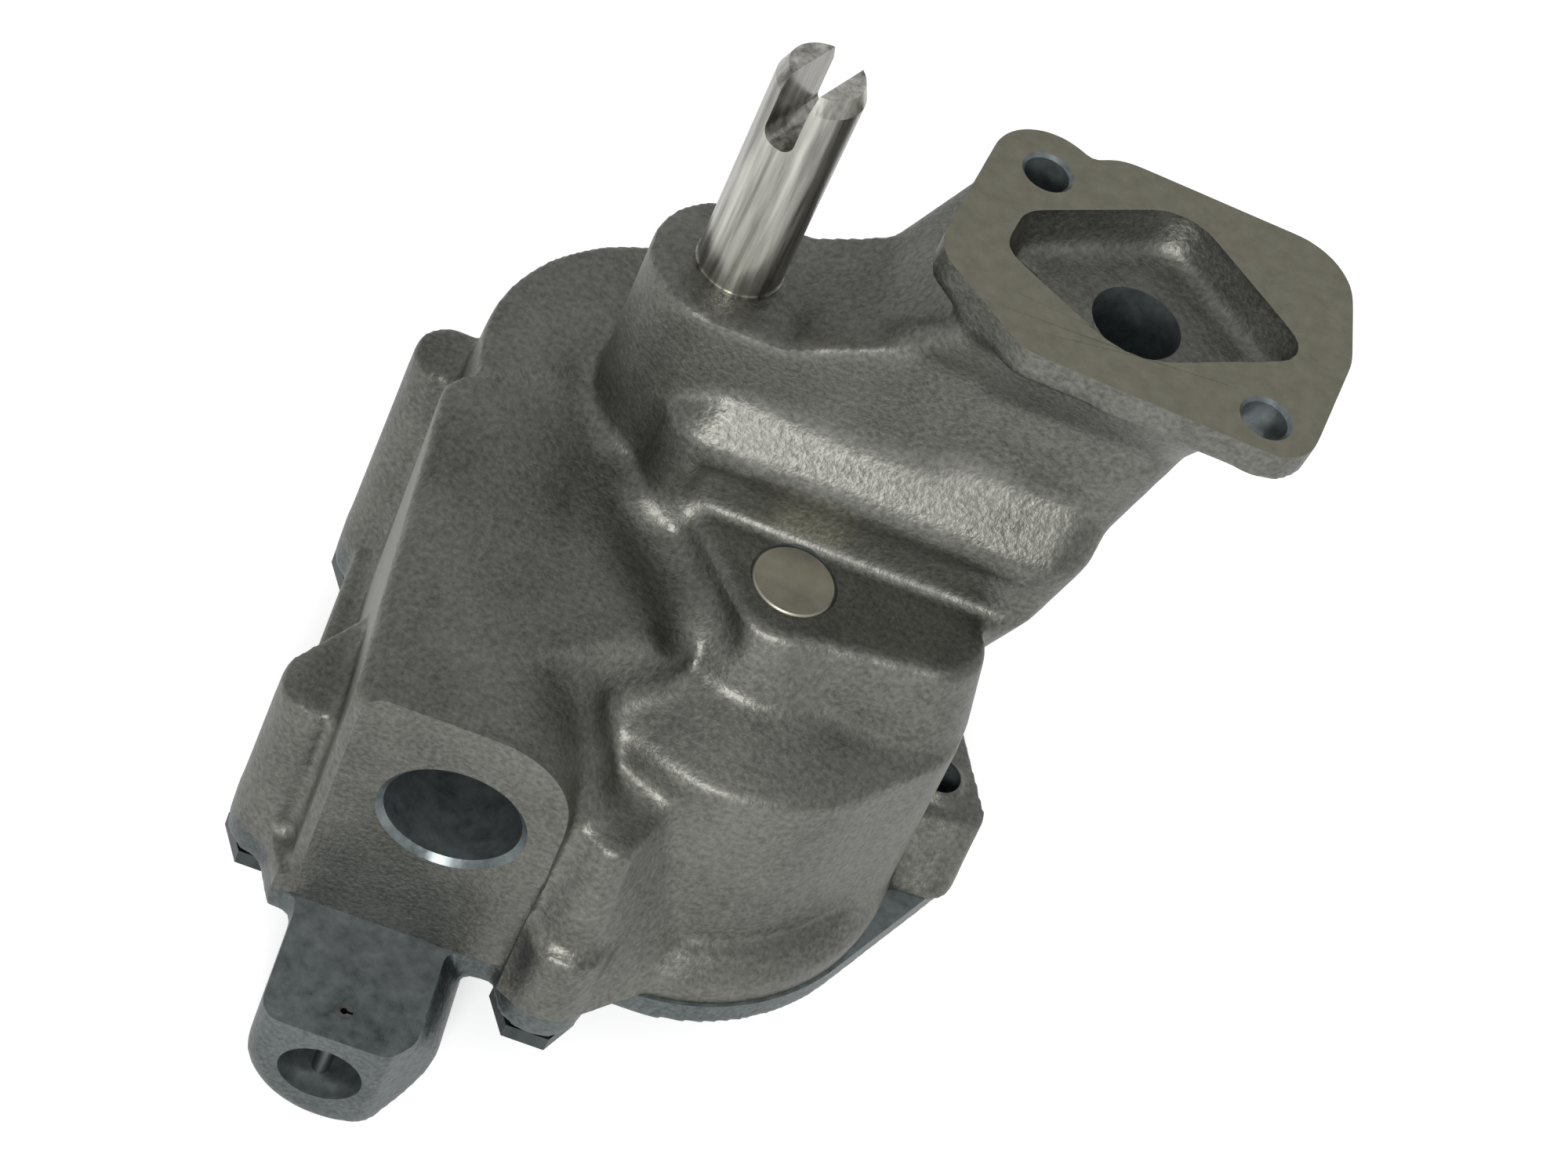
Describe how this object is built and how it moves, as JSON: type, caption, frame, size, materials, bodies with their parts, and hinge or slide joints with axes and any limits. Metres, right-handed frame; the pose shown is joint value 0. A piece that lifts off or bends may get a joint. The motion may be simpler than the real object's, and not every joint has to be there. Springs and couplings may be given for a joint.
{
  "type": "engine oil pump",
  "caption": "Gear oil pump in a cast iron body, with a slotted drive shaft, an inlet bore in a flat pad, an outlet neck up to a bolted flange, and a bottom cover with a relief valve.",
  "frame": {"origin": "on the drive shaft's axis, level with the mounting face of the flange", "axes": "+Z along the drive shaft towards its slotted end, +X from the shaft to the mounting bolt, -Y out of the pickup inlet"},
  "size_m": [0.1174, 0.1225, 0.1422],
  "materials": {
    "cast_iron_body": "sand cast, fine grain, bare",
    "cast_iron_cover": "sand cast, oiled",
    "shaft_steel": "ground",
    "gear_steel": "machined",
    "bolt_steel": "oiled, dark",
    "spring_steel": "drawn wire and rolled strip"
  },
  "bodies": {
    "root": {"pump_body": "cast_iron_body", "cover": "cast_iron_cover", "idler_shaft": "shaft_steel", "relief_spring": "spring_steel", "relief_roll_pin": "spring_steel", "cover_bolt_1": "bolt_steel", "lock_washer_1": "bolt_steel", "cover_bolt_2": "bolt_steel", "lock_washer_2": "bolt_steel", "cover_bolt_3": "bolt_steel", "lock_washer_3": "bolt_steel", "cover_bolt_4": "bolt_steel", "lock_washer_4": "bolt_steel", "cover_bolt_5": "bolt_steel", "lock_washer_5": "bolt_steel"},
    "drive_train": {"drive_shaft": "shaft_steel", "drive_gear": "gear_steel"},
    "idler": {"idler_gear": "gear_steel"},
    "relief_valve": {"relief_piston": "gear_steel"}
  },
  "joints": [
    {"name": "drive_spin", "type": "hinge", "parent": "root", "child": "drive_train", "pos_m": [0, 0, 0], "axis": [0, 0, 1], "continuous": true},
    {"name": "idler_spin", "type": "hinge", "parent": "root", "child": "idler", "pos_m": [0.02244, -0.02373, 0], "axis": [0, 0, 1], "continuous": true},
    {"name": "relief_valve_slide", "type": "slide", "parent": "root", "child": "relief_valve", "axis": [0, -1, 0], "range_m": [0, 0.008], "stiffness_N_per_m": 3900, "springref_m": -0.012, "deforming": ["relief_spring"]}
  ],
  "couplings": [
    {"joint": "idler_spin", "follows": "drive_spin", "ratio": -1}
  ]
}
